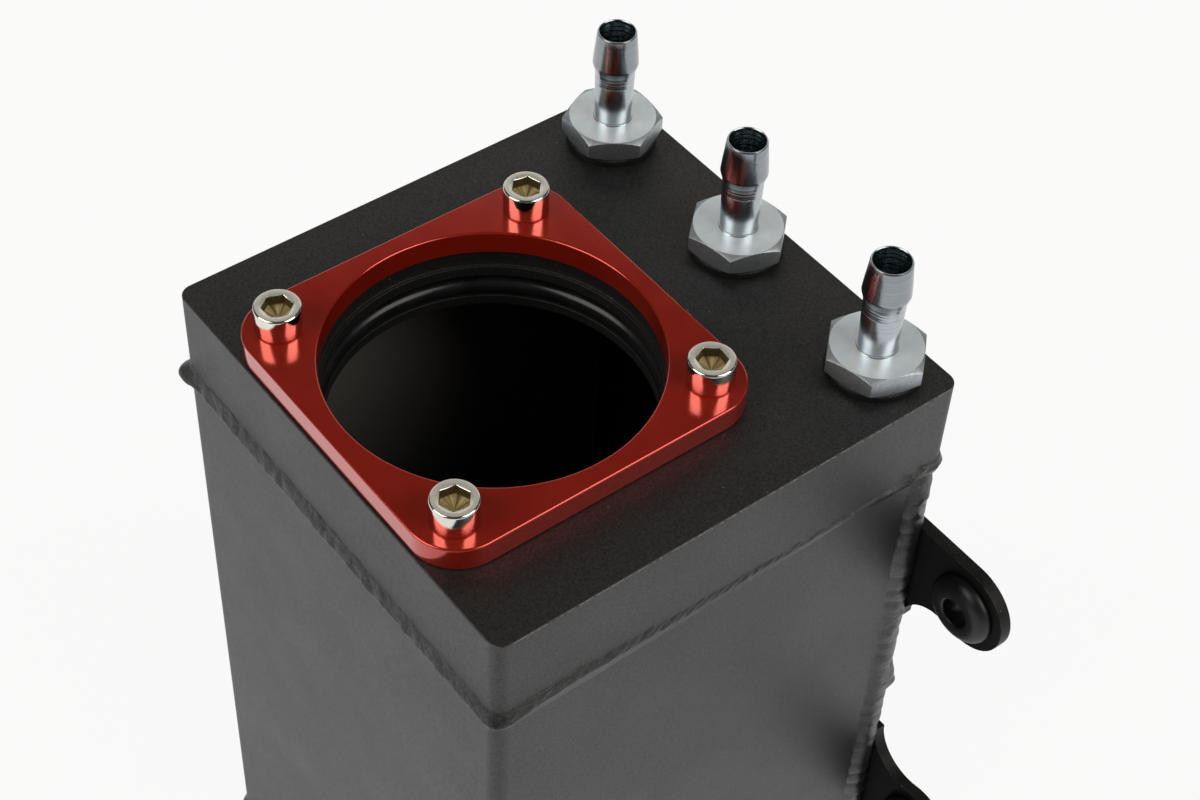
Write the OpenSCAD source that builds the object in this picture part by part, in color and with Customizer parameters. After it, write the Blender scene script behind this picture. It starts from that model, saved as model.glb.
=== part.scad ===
// Swirl pot: a welded aluminium fuel surge tank for a pump that drops in through a sealed bore.
// +Z is up, the front faces -Y, and the origin is the middle of the bottom face.

/* [Tank] */
// Width of the tank across the side walls
tank_w = 100; // [96:1:130]
// Depth of the tank from the front wall to the back plate
tank_d = 101; // [100:1:130]
// Height of the tank from its foot to the top face of the block
tank_h = 170; // [165:1:260]
// Thickness of the folded sheet of the front and side walls
wall_t = 2.5; // [1.5:0.1:2.5]
// Outer radius of the upright corners
corner_r = 2.8; // [2.6:0.1:4]
// Thickness of the bottom plate
bottom_t = 3; // [2.5:0.5:4]
// Edge break of the plates and of the block
edge_c = 0.2; // [0.1:0.1:0.8]

/* [Top block] */
// Thickness of the machined top block
block_t = 20; // [18:1:22]
// Distance of the pump bore in front of the tank's middle
bore_front = 15.5; // [14:0.5:16]
// Radius of the shallow recess at the mouth of the bore
recess_r = 31.2; // [31:0.1:31.4]
// Depth of that recess
recess_depth = 3.4; // [2:0.1:4]
// Radius of the lands that guide the pump
bore_r = 30.5; // [30.2:0.1:30.8]
// Depth of the upper side of the seal groove
groove_top = 5.6; // [5:0.1:6]
// Height of the seal groove
groove_h = 5.3; // [4.2:0.1:5.6]
// Thickness of the block over its hollow underside, which ends the lower land
land_end = 13; // [12.5:0.5:14]
// Thickness of the rim round that hollow
rim_t = 3; // [2.5:0.5:4]

/* [Pump seal] */
// Thickness of the rubber ring
seal_t = 3.6; // [3.2:0.1:3.8]
// Inner radius of the rubber ring
seal_r = 30.3; // [30.3:0.1:30.6]

/* [Clamp ring] */
// Side of the square clamp ring
ring_side = 69; // [68:0.5:70]
// Thickness of the clamp ring
ring_t = 5; // [4.5:0.5:6]
// Radius of its upright corners
ring_corner_r = 9.5; // [7:0.5:11]
// Radius of its round hole
ring_hole_r = 30.7; // [30.5:0.1:31]
// Edge break of its top edges
ring_c = 0.4; // [0.2:0.1:0.8]
// Distance between neighbouring screws
screw_pitch = 54; // [53:0.5:55]

/* [Clamp screws] */
// Diameter of the cylindrical head
head_d = 8.7; // [8.5:0.1:8.8]
// Height of the head
head_h = 5.4; // [5:0.1:5.6]
// Size of the hexagon socket across its flats
socket_af = 5; // [4:0.1:5.2]
// Depth of the socket to the start of its drill point
socket_depth = 2.4; // [2.2:0.1:3.2]
// Length of the screw under its head
screw_len = 16; // [12:1:16]

/* [Hose tails] */
// Distance between neighbouring hose tails
tail_pitch = 38; // [34:1:38]
// Distance of the row of hose tails behind the tank's middle
tail_back = 40.4; // [40:0.1:40.6]
// Size of the hexagon across its flats
hex_af = 17; // [15:0.5:17]
// Height of the hexagon
hex_h = 4.3; // [4:0.1:5]
// Height of the hose tail above the hexagon
stem_h = 20.4; // [18:0.1:24]
// Radius of the barb
barb_r = 4.4; // [4.3:0.1:4.8]
// Radius of the bore through the hose tail
tail_bore_r = 3.25; // [2.5:0.05:3.25]
// Thread diameter of the stub
stub_d = 12; // [10:1:12]
// Length of the stub in the block
stub_len = 11; // [8:1:12]
// Thickness of the sealing washer
washer_t = 1.6; // [1.2:0.1:2]
// Turn of each hexagon about its own axis, left to right
hex_turn = [-5, 12, 13];

/* [Ears] */
// Thickness of the back plate and of the ears that are cut with it
back_t = 2.5; // [2.5:0.1:3]
// Distance of the bolt holes outside the side walls
ear_reach = 14; // [12:0.5:18]
// Distance between the upper and lower bolt holes
ear_pitch_z = 75; // [60:1:90]
// Outer radius of an ear
ear_r = 9.5; // [9:0.1:11]
// Radius of the hollow flank that runs from the wall into the ear
flank_r = 9; // [7:0.5:10]
// Radius of the eye that holds the grommet
eye_r = 5.2; // [4.5:0.1:5.5]

/* [Grommets] */
// Outer radius of the front flange
flange_r = 7.7; // [7:0.1:8.2]
// Thickness of the front flange
flange_t = 2.8; // [2.4:0.1:3]
// Outer radius of the small lip behind the ear
lip_r = 6.4; // [6:0.1:7]
// Thickness of that lip
lip_t = 1.2; // [0.8:0.1:1.5]
// Radius of the bolt hole
bolt_r = 3.1; // [2.6:0.1:3.3]

/* [Weld beads] */
// Height of a bead above the joint that it closes
bead_up = 2.5; // [2:0.1:2.6]
// Height of a bead below that joint
bead_down = 2.7; // [2.2:0.1:2.8]
// How far a bead stands out at its crest
bead_out = 1.25; // [0.8:0.05:1.4]
// Radius of the bead down a rear corner
corner_bead_r = 5.4; // [5.2:0.1:5.6]

/* [Hidden] */
$fn = 96;
joint_z = tank_h - block_t;
back_front = tank_d / 2 - back_t;
bore_y = -bore_front;
groove_z = tank_h - groove_top - groove_h;
seal_mid_r = seal_r + seal_t / 2;
groove_r = seal_mid_r + seal_t / 2 + 0.1;
ear_upper_z = tank_h / 2 + ear_pitch_z / 2;
ear_lower_z = tank_h / 2 - ear_pitch_z / 2;
ear_x = tank_w / 2 + ear_reach;
ring_top = tank_h + ring_t;
hex_z = tank_h + washer_t;
stem_z = hex_z + hex_h;
thread_gap = 0.05;
corner_bead_x = tank_w / 2 - 4.4;
corner_bead_y = tank_d / 2 - 5.3;
past = 1;

black_coat = [0.16, 0.16, 0.17];
bead_coat = [0.26, 0.26, 0.27];
red_anodised = [0.72, 0.08, 0.1];
zinc = [0.78, 0.81, 0.82];
nickel = [0.83, 0.8, 0.72];
rubber = [0.06, 0.06, 0.07];

// Rectangle with round corners, centred
module rounded_rect(w, d, r) {
    square([w, d - 2 * r], center = true);
    square([w - 2 * r, d], center = true);
    for (sx = [-1, 1], sy = [-1, 1])
        translate([sx * (w / 2 - r), sy * (d / 2 - r)])
            circle(r);
}

// Slab with round upright corners and its edges broken by top_c above and by foot_c below
module broken_slab(w, d, h, r, top_c, foot_c) {
    x = w / 2 - r;
    y = d / 2 - r;
    for (side = [[x, d / 2, 90], [y, w / 2, 0]])
        rotate([0, 0, side[2] - 90])
            rotate([90, 0, 90])
                linear_extrude(2 * side[0], center = true)
                    polygon([[-side[1] + foot_c, 0], [side[1] - foot_c, 0], [side[1], foot_c],
                             [side[1], h - top_c], [side[1] - top_c, h],
                             [-side[1] + top_c, h], [-side[1], h - top_c], [-side[1], foot_c]]);
    for (sx = [-1, 1], sy = [-1, 1])
        translate([sx * x, sy * y, 0])
            rotate_extrude()
                polygon([[0, 0], [r - foot_c, 0], [r, foot_c], [r, h - top_c], [r - top_c, h], [0, h]]);
}

// Cross-section of a bead on a wall: x runs outwards from the wall, y is up from the joint
module bead_section() {
    polygon([[0, bead_up], [0.4 * bead_out, 0.45 * bead_up], [0.75 * bead_out, -0.05 * bead_down],
             [0.96 * bead_out, -0.42 * bead_down], [bead_out, -0.6 * bead_down],
             [0.82 * bead_out, -0.8 * bead_down], [0.4 * bead_out, -0.95 * bead_down], [0, -bead_down]]);
}

// Bead all round the tank at the height z
module bead_ring(z) {
    x = tank_w / 2 - corner_r;
    y = tank_d / 2 - corner_r;
    translate([0, 0, z]) {
        for (turn = [0, 180]) {
            rotate([0, 0, turn])
                translate([tank_w / 2, 0, 0])
                    rotate([90, 0, 0])
                        linear_extrude(2 * y, center = true)
                            bead_section();
            rotate([0, 0, turn + 90])
                translate([tank_d / 2, 0, 0])
                    rotate([90, 0, 0])
                        linear_extrude(2 * x, center = true)
                            bead_section();
        }
        for (corner = [[x, y, 0], [-x, y, 90], [-x, -y, 180], [x, -y, 270]])
            translate([corner[0], corner[1], 0])
                rotate([0, 0, corner[2]])
                    rotate_extrude(angle = 90)
                        translate([corner_r, 0])
                            bead_section();
    }
}

// Front wall and side walls, folded from one sheet
module body_shell() {
    color(black_coat)
        translate([0, 0, bottom_t])
            linear_extrude(joint_z - bottom_t)
                difference() {
                    rounded_rect(tank_w, tank_d, corner_r);
                    rounded_rect(tank_w - 2 * wall_t, tank_d - 2 * wall_t, corner_r - wall_t);
                    translate([-tank_w, back_front])
                        square([2 * tank_w, tank_d]);
                }
}

// Upper right ear as a flat outline, x and y in place of X and Z
module ear_outline() {
    flank_x = tank_w / 2 + flank_r;
    flank_z = ear_upper_z - sqrt(pow(ear_r + flank_r, 2) - pow(ear_x - flank_x, 2));
    translate([ear_x, ear_upper_z])
        circle(ear_r);
    difference() {
        polygon([[tank_w / 2 - wall_t - past, flank_z], [flank_x, flank_z], [ear_x, ear_upper_z],
                 [ear_x, ear_upper_z + ear_r], [tank_w / 2 - wall_t - past, ear_upper_z + ear_r]]);
        translate([flank_x, flank_z])
            circle(flank_r);
    }
}

// Plate that closes the back, with the four ears cut in one piece with it
module back_plate() {
    color(black_coat)
        difference() {
            union() {
                translate([0, 0, bottom_t])
                    linear_extrude(joint_z - bottom_t)
                        intersection() {
                            rounded_rect(tank_w, tank_d, corner_r);
                            translate([-tank_w / 2 + wall_t, back_front])
                                square([tank_w - 2 * wall_t, back_t]);
                        }
                for (flip_x = [0, 1], flip_z = [0, 1])
                    mirror([flip_x, 0, 0])
                        translate([0, tank_d / 2, flip_z * tank_h])
                            mirror([0, 0, flip_z])
                                rotate([90, 0, 0])
                                    linear_extrude(back_t)
                                        ear_outline();
            }
            for (sx = [-1, 1], z = [ear_lower_z, ear_upper_z])
                translate([sx * ear_x, tank_d / 2 + past, z])
                    rotate([90, 0, 0])
                        cylinder(h = back_t + 2 * past, r = eye_r);
        }
}

// Plate that closes the tank below
module bottom_plate() {
    color(black_coat)
        broken_slab(tank_w, tank_d, bottom_t, corner_r, 0, edge_c);
}

// Everything that is turned out of the block on the pump's axis
module pump_bore() {
    translate([0, bore_y, 0])
        rotate_extrude()
            polygon([[0, tank_h + past], [recess_r, tank_h + past], [recess_r, tank_h - recess_depth],
                     [bore_r, tank_h - recess_depth], [bore_r, tank_h - groove_top],
                     [groove_r, tank_h - groove_top], [groove_r, groove_z],
                     [bore_r, groove_z], [bore_r, joint_z - past], [0, joint_z - past]]);
}

// Machined block with the pump bore, the tapped holes and the ports for the hose tails
module top_block() {
    color(black_coat)
        difference() {
            translate([0, 0, joint_z])
                broken_slab(tank_w, tank_d, block_t, corner_r, edge_c, 0);
            pump_bore();
            translate([0, 0, joint_z - past])
                linear_extrude(block_t - land_end + past)
                    rounded_rect(tank_w - 2 * rim_t, tank_d - 2 * rim_t, 6);
            for (sx = [-1, 1], sy = [-1, 1])
                translate([sx * screw_pitch / 2, bore_y + sy * screw_pitch / 2, tank_h - 12.3])
                    cylinder(h = 12.3 + past, r = 2.5);
            for (i = [-1, 0, 1])
                translate([i * tail_pitch, tail_back, joint_z - past])
                    cylinder(h = block_t + 2 * past, r = stub_d / 2);
        }
}

module weld_top() {
    color(bead_coat)
        bead_ring(joint_z);
}

module weld_bottom() {
    color(bead_coat)
        bead_ring(bottom_t);
}

// Bead that fills the open corner between side wall and back plate and laps onto the wall
module corner_bead() {
    wall_x = tank_w / 2 - wall_t;
    difference() {
        union() {
            translate([0, 0, bottom_t + bead_up])
                linear_extrude(joint_z - bottom_t - bead_up - bead_down)
                    translate([corner_bead_x, corner_bead_y])
                        circle(corner_bead_r);
            translate([0, 0, bottom_t])
                linear_extrude(joint_z - bottom_t)
                    intersection() {
                        rounded_rect(tank_w, tank_d, corner_r);
                        translate([wall_x, back_front])
                            square(2 * back_t);
                    }
        }
        translate([0, 0, -past])
            cube([tank_w / 2, back_front, tank_h]);
        translate([0, 0, -past])
            cube([wall_x, tank_d, tank_h]);
        back_plate();
    }
}

module weld_rear_right() {
    color(bead_coat)
        corner_bead();
}

module weld_rear_left() {
    color(bead_coat)
        mirror([1, 0, 0])
            corner_bead();
}

// Square ring that holds the pump's seal down
module clamp_ring() {
    color(red_anodised)
        difference() {
            translate([0, bore_y, tank_h])
                broken_slab(ring_side, ring_side, ring_t, ring_corner_r, ring_c, 0);
            translate([0, bore_y, tank_h])
                rotate_extrude()
                    polygon([[0, -past], [ring_hole_r, -past], [ring_hole_r, ring_t - ring_c],
                             [ring_hole_r + ring_c + past, ring_t + past], [0, ring_t + past]]);
            for (sx = [-1, 1], sy = [-1, 1])
                translate([sx * screw_pitch / 2, bore_y + sy * screw_pitch / 2, tank_h - past])
                    cylinder(h = ring_t + 2 * past, r = 2.75);
        }
}

// Socket head cap screw, its head standing on the height z = 0
module cap_screw() {
    rim_c = 0.4;
    shank_r = 2.5 - thread_gap;
    mouth_r = socket_af / sqrt(3) + 0.35;
    mouth_c = 0.45;
    point_h = 0.8;
    difference() {
        rotate_extrude()
            polygon([[0, -screw_len], [shank_r - 0.6, -screw_len], [shank_r, -screw_len + 0.6], [shank_r, 0],
                     [head_d / 2, 0], [head_d / 2, head_h - rim_c], [head_d / 2 - rim_c, head_h], [0, head_h]]);
        translate([0, 0, head_h - socket_depth])
            cylinder(h = socket_depth + past, d = socket_af * 2 / sqrt(3), $fn = 6);
        translate([0, 0, head_h - socket_depth - point_h])
            cylinder(h = point_h + 0.01, r1 = 0.1, r2 = socket_af / 2);
        translate([0, 0, head_h - mouth_c])
            cylinder(h = mouth_c + past, r1 = mouth_r - mouth_c, r2 = mouth_r + past);
    }
}

module clamp_screws() {
    color(nickel)
        for (sx = [-1, 1], sy = [-1, 1])
            translate([sx * screw_pitch / 2, bore_y + sy * screw_pitch / 2, ring_top])
                rotate([0, 0, 20 * sx - 10 * sy])
                    cap_screw();
}

// Rubber ring that grips the pump
module pump_seal() {
    color(rubber)
        translate([0, bore_y, groove_z + seal_t / 2])
            rotate_extrude()
                translate([seal_mid_r, 0])
                    circle(seal_t / 2);
}

// Turned hose tail with its hexagon turned by the angle turn
module hose_tail(turn) {
    top_z = stem_z + stem_h;
    barb_z = top_z - 7.2;
    neck_z = barb_z - 1.8;
    neck_r = barb_r - 0.5;
    root_r = barb_r - 0.9;
    face_r = hex_af / 2 - 0.1;
    corner_r = hex_af / sqrt(3) + 0.1;
    drop = (corner_r - face_r) * tan(30);
    stub_r = stub_d / 2 - thread_gap;
    groove_d = 0.12;
    difference() {
        union() {
            intersection() {
                translate([0, 0, hex_z])
                    rotate([0, 0, turn])
                        cylinder(h = hex_h, d = hex_af * 2 / sqrt(3), $fn = 6);
                rotate_extrude()
                    polygon([[0, hex_z], [face_r, hex_z], [corner_r, hex_z + drop],
                             [corner_r, stem_z - drop], [face_r, stem_z], [0, stem_z]]);
            }
            rotate_extrude()
                polygon([[0, stem_z - past], [root_r, stem_z - past], [root_r, stem_z],
                         [neck_r - 0.05, neck_z - 2.4], [neck_r - 0.05 - groove_d, neck_z - 2.2],
                         [neck_r - 0.05, neck_z - 2], [neck_r, neck_z - 1.3],
                         [neck_r - groove_d, neck_z - 1.1], [neck_r, neck_z - 0.9], [neck_r, neck_z],
                         [barb_r, barb_z], [barb_r - 0.65, top_z - 0.2], [barb_r - 0.8, top_z],
                         [0, top_z]]);
            translate([0, 0, tank_h - stub_len])
                cylinder(h = stub_len + washer_t + past, r = stub_r);
        }
        translate([0, 0, tank_h - stub_len - past])
            cylinder(h = top_z - tank_h + stub_len + 2 * past, r = tail_bore_r);
    }
}

// Place of one of the three hose tails, with i from -1 at the left to 1 at the right
module at_tail(i) {
    translate([i * tail_pitch, tail_back, 0])
        children();
}

module hose_tail_left() {
    color(zinc)
        at_tail(-1)
            hose_tail(hex_turn[0]);
}

module hose_tail_middle() {
    color(zinc)
        at_tail(0)
            hose_tail(hex_turn[1]);
}

module hose_tail_right() {
    color(zinc)
        at_tail(1)
            hose_tail(hex_turn[2]);
}

// Sealing washer under a hexagon
module seal_washer() {
    washer_r = hex_af / 2 + 0.3;
    color(rubber)
        translate([0, 0, tank_h])
            rotate_extrude()
                polygon([[stub_d / 2 + 0.1, 0], [washer_r, 0], [washer_r, washer_t - 0.3],
                         [washer_r - 0.3, washer_t], [stub_d / 2 + 0.1, washer_t]]);
}

module seal_washer_left() {
    at_tail(-1)
        seal_washer();
}

module seal_washer_middle() {
    at_tail(0)
        seal_washer();
}

module seal_washer_right() {
    at_tail(1)
        seal_washer();
}

// Section of a grommet: z is 0 in the middle of the back plate and grows towards the front
module grommet_section() {
    face = back_t / 2;
    shoulder = flange_t / 2;
    polygon([[bolt_r, -face - lip_t], [lip_r - 0.4, -face - lip_t], [lip_r, -face - lip_t + 0.4],
             [lip_r, -face], [eye_r - 0.05, -face], [eye_r - 0.05, face],
             [flange_r - shoulder, face], [flange_r - shoulder, face + flange_t],
             [bolt_r + 1.5, face + flange_t + 0.35], [bolt_r + 0.5, face + flange_t + 0.35],
             [bolt_r, face + flange_t]]);
    translate([flange_r - shoulder, face + shoulder])
        circle(shoulder);
}

module grommet(sx, z) {
    color(rubber)
        translate([sx * ear_x, tank_d / 2 - back_t / 2, z])
            rotate([90, 0, 0])
                rotate_extrude()
                    grommet_section();
}

module grommet_upper_left() {
    grommet(-1, ear_upper_z);
}

module grommet_upper_right() {
    grommet(1, ear_upper_z);
}

module grommet_lower_left() {
    grommet(-1, ear_lower_z);
}

module grommet_lower_right() {
    grommet(1, ear_lower_z);
}

body_shell();
back_plate();
bottom_plate();
top_block();
weld_top();
weld_bottom();
weld_rear_left();
weld_rear_right();
clamp_ring();
clamp_screws();
pump_seal();
hose_tail_left();
hose_tail_middle();
hose_tail_right();
seal_washer_left();
seal_washer_middle();
seal_washer_right();
grommet_upper_left();
grommet_upper_right();
grommet_lower_left();
grommet_lower_right();
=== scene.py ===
import bpy
import math
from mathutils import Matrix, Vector, noise


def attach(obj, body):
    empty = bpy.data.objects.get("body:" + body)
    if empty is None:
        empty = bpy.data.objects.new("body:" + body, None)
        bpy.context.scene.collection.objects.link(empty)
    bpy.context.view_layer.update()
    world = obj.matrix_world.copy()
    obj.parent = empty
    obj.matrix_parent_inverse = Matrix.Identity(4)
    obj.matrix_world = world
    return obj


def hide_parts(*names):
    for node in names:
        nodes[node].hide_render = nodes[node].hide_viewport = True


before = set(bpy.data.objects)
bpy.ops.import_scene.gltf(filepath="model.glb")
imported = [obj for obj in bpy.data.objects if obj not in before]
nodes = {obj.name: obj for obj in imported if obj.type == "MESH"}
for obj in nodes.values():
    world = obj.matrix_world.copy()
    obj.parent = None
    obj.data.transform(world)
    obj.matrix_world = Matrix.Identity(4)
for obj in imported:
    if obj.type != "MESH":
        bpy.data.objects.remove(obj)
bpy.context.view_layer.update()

mm = 0.001
mergeGap, fineGap = 0.00001, 0.000002  # metres; the fine one is for pieces with very short edges
tank = {"width": 100, "depth": 101, "height": 170, "corner": 2.8,
        "joint": 150, "foot": 3}  # heights of the welded joints at the block and at the bottom plate
pump = {"y": -15.5, "ringTop": 175, "screwPitch": 54}
print("frame loaded:", len(nodes), "nodes")


# camera and light

camera = {"place": (224.99, -178.85, 463.62), "lens": 68.74, "sensor": 36, "shift": (0.0537, -0.0244),
          "clip": (0.02, 30),
          "turn": (0.827403, 0.334718, 0.159197, 0.421930)}  # quaternion, w first


def addCamera():
    bpy.ops.object.camera_add(location=[c * mm for c in camera["place"]])
    view = bpy.context.object
    view.name = "camera"
    view.rotation_mode = "QUATERNION"
    view.rotation_quaternion = camera["turn"]
    view.data.sensor_fit = "HORIZONTAL"
    view.data.sensor_width = camera["sensor"]
    view.data.lens = camera["lens"]
    view.data.shift_x, view.data.shift_y = camera["shift"]
    view.data.clip_start, view.data.clip_end = camera["clip"]
    bpy.context.scene.camera = view


studio = {
    "aim": (0, 0, 140), "distance": 1000,
    "lamps": [  # name, azimuth from +X, elevation, width, height, watts
        ("softLeft", 259, 38, 690, 730, 6.0),
        ("softRight", 26, 38, 690, 730, 6.0),
        ("softBack", 142, 25, 1600, 600, 2.1),
    ],
    "lampColour": (1.0, 0.965, 0.90), "sky": 0.065,
    "floorSize": 8.0, "floorColour": 0.9,
    "floorGlow": 0.9,  # how far the camera and reflections see the floor as plain white
}


def addLamp(name, azimuth, elevation, width, height, watts):
    a, e = math.radians(azimuth), math.radians(elevation)
    away = Vector((math.cos(a) * math.cos(e), math.sin(a) * math.cos(e), math.sin(e)))
    place = Vector(studio["aim"]) * mm + away * studio["distance"] * mm
    bpy.ops.object.light_add(type="AREA", location=place)
    lamp = bpy.context.object
    lamp.name = name
    lamp.data.shape = "RECTANGLE"
    lamp.data.size, lamp.data.size_y = width * mm, height * mm
    lamp.data.energy = watts
    lamp.data.color = studio["lampColour"]
    lamp.rotation_mode = "QUATERNION"
    lamp.rotation_quaternion = away.to_track_quat("Z", "Y")


def makeSky():
    world = bpy.data.worlds.new("sky")
    bpy.context.scene.world = world
    world.use_nodes = True
    background = world.node_tree.nodes["Background"]
    background.inputs["Color"].default_value = (1, 1, 1, 1)
    background.inputs["Strength"].default_value = studio["sky"]


# modelling tools

def deselectAll():
    if bpy.context.object and bpy.context.object.mode != "OBJECT":
        bpy.ops.object.mode_set(mode="OBJECT")
    bpy.ops.object.select_all(action="DESELECT")


def makeActive(piece):
    deselectAll()
    piece.select_set(True)
    bpy.context.view_layer.objects.active = piece


def startEdit(piece, mode="VERT", select="SELECT"):
    makeActive(piece)
    bpy.ops.object.mode_set(mode="EDIT")
    bpy.ops.mesh.select_mode(type=mode)
    bpy.ops.mesh.select_all(action=select)


def endEdit():
    bpy.ops.object.mode_set(mode="OBJECT")


def cleanUp(piece, gap=mergeGap):
    startEdit(piece)
    bpy.ops.mesh.remove_doubles(threshold=gap)
    bpy.ops.mesh.select_all(action="SELECT")
    bpy.ops.mesh.normals_make_consistent(inside=False)
    endEdit()


def faceOutwards(piece):  # a closed piece with a negative volume is inside out
    if sum(face.center.dot(face.normal) * face.area for face in piece.data.polygons) < 0:
        startEdit(piece, "FACE")
        bpy.ops.mesh.flip_normals()
        endEdit()


def smooth(piece, angle=32):
    makeActive(piece)
    bpy.ops.object.shade_smooth_by_angle(angle=math.radians(angle))


def settle(piece):
    makeActive(piece)
    bpy.ops.object.transform_apply(location=True, rotation=True, scale=True)


def addModifier(piece, kind, **values):
    makeActive(piece)
    modifier = piece.modifiers.new(kind.lower(), kind)
    for key, value in values.items():
        setattr(modifier, key, value)
    bpy.ops.object.modifier_apply(modifier=modifier.name)


def combine(piece, tool, how):
    addModifier(piece, "BOOLEAN", object=tool, operation=how, solver="EXACT")
    bpy.data.objects.remove(tool, do_unlink=True)


def finishPiece(piece, name, material, slot, *replaced):
    settle(piece)
    piece.name = piece.data.name = name
    piece.data.materials.clear()
    piece.data.materials.append(material)
    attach(piece, "root")
    if replaced:
        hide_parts(*replaced)
    return piece


def lathe(outline, steps):  # the outline is a list of (radius, height) in mm
    deselectAll()
    bpy.ops.mesh.primitive_plane_add(size=0.001, location=(0, 0, 0))
    piece = bpy.context.object
    startEdit(piece)
    bpy.ops.mesh.merge(type="CENTER")
    points = [Vector((r * mm, 0, z * mm)) for r, z in outline]
    bpy.ops.mesh.select_all(action="SELECT")
    bpy.ops.transform.translate(value=points[0])
    for before, after in zip(points, points[1:]):
        bpy.ops.mesh.extrude_vertices_move(TRANSFORM_OT_translate={"value": after - before})
    bpy.ops.mesh.select_all(action="SELECT")
    bpy.ops.mesh.spin(steps=steps, angle=math.tau, center=(0, 0, 0), axis=(0, 0, 1))
    endEdit()
    cleanUp(piece)
    return piece


def copyPiece(piece):
    makeActive(piece)
    bpy.ops.object.duplicate()
    return bpy.context.object


# materials

class Paint:
    def __init__(self, name):
        self.material = bpy.data.materials.new(name)
        self.material.use_nodes = True
        self.tree = self.material.node_tree
        self.tree.nodes.clear()
        end = self.tree.nodes.new("ShaderNodeOutputMaterial")
        self.shader = self.add("BsdfPrincipled")
        self.tree.links.new(self.shader.outputs[0], end.inputs["Surface"])
        self.place = self.add("TexCoord").outputs["Object"]

    def add(self, kind, inputs=None, **settings):
        node = self.tree.nodes.new("ShaderNode" + kind)
        for key, value in settings.items():
            setattr(node, key, value)
        for key, value in (inputs or {}).items():
            self.join(value, node.inputs[key])
        return node

    def join(self, value, socket):
        if isinstance(value, bpy.types.NodeSocket):
            self.tree.links.new(value, socket)
        else:
            socket.default_value = value

    def set(self, **values):
        for key, value in values.items():
            self.join(value, self.shader.inputs[key.replace("_", " ")])

    def noise(self, size, detail=2, roughness=0.5):  # size in mm
        return self.add("TexNoise", {"Vector": self.place, "Scale": 1 / (size * mm), "Detail": detail,
                                     "Roughness": roughness}).outputs["Fac"]

    def ramp(self, value, stops):  # each stop is a position and a colour
        node = self.add("ValToRGB", {"Fac": value})
        bar = node.color_ramp.elements
        while len(bar) < len(stops):
            bar.new(0.5)
        for mark, (at, colour) in zip(bar, stops):
            mark.position = at
            mark.color = (*colour, 1)
        return node.outputs["Color"]

    def math(self, how, a, b=0.0):
        return self.add("Math", {0: a, 1: b}, operation=how).outputs[0]

    def times(self, a, b):
        return self.math("MULTIPLY", a, b)

    def scale(self, value, low, high, to=(0.0, 1.0)):  # low to high becomes the range in to
        return self.add("MapRange", {"Value": value, "From Min": low, "From Max": high,
                                     "To Min": to[0], "To Max": to[1]}).outputs["Result"]

    def mix(self, amount, a, b):
        node = self.add("Mix", data_type="RGBA")
        for i, value in ((0, amount), (6, a), (7, b)):  # factor and the two colours
            self.join((*value, 1) if isinstance(value, tuple) else value, node.inputs[i])
        return node.outputs[2]

    def bump(self, height, depth, below=None):
        inputs = {"Height": height, "Strength": 1.0, "Distance": depth * mm}
        if below:
            inputs["Normal"] = below
        return self.add("Bump", inputs).outputs["Normal"]


coat = {"grain": 0.32, "depth": 0.07, "cloud": 14, "cloudDepth": 0.02,
        "dark": (0.003, 0.003, 0.003), "light": (0.017, 0.017, 0.0172),
        "rough": (0.41, 0.45), "shine": (0.36, 0.70),
        "speck": (0.2, 0.195, 0.18), "speckPitch": 1.3, "speckEdge": (0.05, 0.12), "speckRare": 0.93,
        # the pale edge colour is partly wear and partly a painted highlight on edges that face the lamps
        "wearAndHighlight": (0.16, 0.155, 0.145), "markSpotShare": (0.42, 0.56),
        "blockMarkSpots": 0.9, "blockSlope": 0.4,  # size of the spots that break the worn, painted-highlight edge, and how far that edge must lean toward +X and up
        "plateMarkSpots": 0.7, "plateFront": (0.25, 0.93),  # the same for the plate's rounded front edges
        "paintedInsideFill": (0.14, 0.14, 0.13), "innerWalls": (47.5, 48.0)}  # painted fill light for the inside of the tank, and the inner walls' distance from the middle
shellLook = {"paintedInsideFill": True}
blockLook = {"wearAndHighlight": "block"}
plateLook = {"wearAndHighlight": "plate", "dull": 0.25}
beadLook = {"rougher": -0.06, "dull": 1.05}


# Worn edges with a painted highlight: on the block, only the edges that face +X and up toward the right
# lamp; on the back plate, the rounded front edges. Noise breaks the line into spots.
def wearAndHighlightEdges(paint, where):
    facing = paint.add("SeparateXYZ", {"Vector": paint.add("NewGeometry").outputs["True Normal"]}).outputs
    if where == "block":
        high = paint.add("SeparateXYZ", {"Vector": paint.place}).outputs["Z"]
        slope = paint.times(paint.math("GREATER_THAN", facing["X"], coat["blockSlope"]),
                            paint.math("GREATER_THAN", facing["Z"], coat["blockSlope"]))
        edge = paint.times(slope, paint.math("LESS_THAN", high, (tank["height"] - 0.1) * mm))
        spots = paint.noise(coat["blockMarkSpots"], detail=3, roughness=0.7)
    else:
        front = paint.times(facing["Y"], -1.0)
        edge = paint.times(paint.math("GREATER_THAN", front, coat["plateFront"][0]),
                           paint.math("LESS_THAN", front, coat["plateFront"][1]))
        spots = paint.noise(coat["plateMarkSpots"], detail=3, roughness=0.75)
    return paint.times(edge, paint.scale(spots, *coat["markSpotShare"]))


def insideTank(paint):
    at = paint.add("SeparateXYZ", {"Vector": paint.place}).outputs
    near = [paint.math("LESS_THAN", paint.math("ABSOLUTE", at[i]), coat["innerWalls"][i] * mm * 1.003)
            for i in (0, 1)]
    deep = paint.math("GREATER_THAN", at[2], (tank["foot"] - 0.01) * mm)
    return paint.times(paint.times(near[0], near[1]), deep)


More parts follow.
